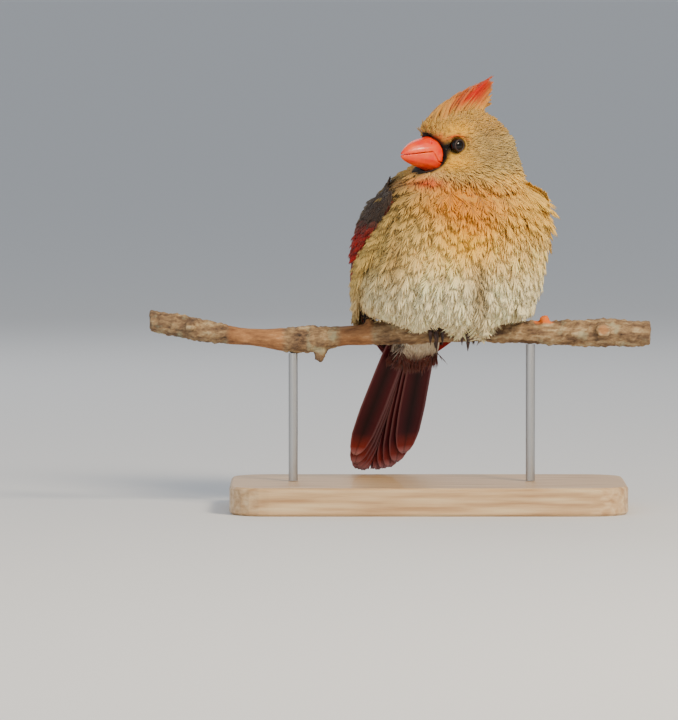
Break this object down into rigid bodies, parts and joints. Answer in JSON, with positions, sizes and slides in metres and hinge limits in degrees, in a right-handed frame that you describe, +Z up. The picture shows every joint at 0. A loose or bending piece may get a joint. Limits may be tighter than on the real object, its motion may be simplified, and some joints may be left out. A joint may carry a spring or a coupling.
{
  "type": "northern cardinal",
  "caption": "Fluffed-up female northern cardinal gripping a cut length of branch on a display stand, head turned to its right, tail hanging.",
  "frame": {"origin": "centre of the stand base's underside", "axes": "+Z up, +X along the perch to the viewer's right, +Y away from the viewer; the bird's breast faces -Y"},
  "size_m": [0.215, 0.1049, 0.1869],
  "materials": {
    "head_plumage": "soft feathers",
    "crest_plumage": "soft feathers",
    "body_plumage": "soft feathers",
    "wing_plumage": "smooth feathers",
    "tail_plumage": "smooth feathers",
    "bill_horn": "smooth horn, satin",
    "eye": "wet gloss",
    "foot_scales": "scaly, satin",
    "bark": "rough bark",
    "stand_wood": "planed and waxed",
    "rod_steel": "brushed"
  },
  "bodies": {
    "root": {"head": "head_plumage", "crest": "crest_plumage", "neck": "head_plumage", "torso": "body_plumage", "wing_left": "wing_plumage", "wing_right": "wing_plumage", "tail": "tail_plumage", "undertail_coverts": "body_plumage", "upper_beak": "bill_horn", "lower_beak": "bill_horn", "eye_left": "eye", "eye_right": "eye", "foot_left": "foot_scales", "foot_right": "foot_scales", "leg_left": "foot_scales", "leg_right": "foot_scales", "perch": "bark", "stand_base": "stand_wood", "stand_rod_left": "rod_steel", "stand_rod_right": "rod_steel"}
  },
  "joints": []
}
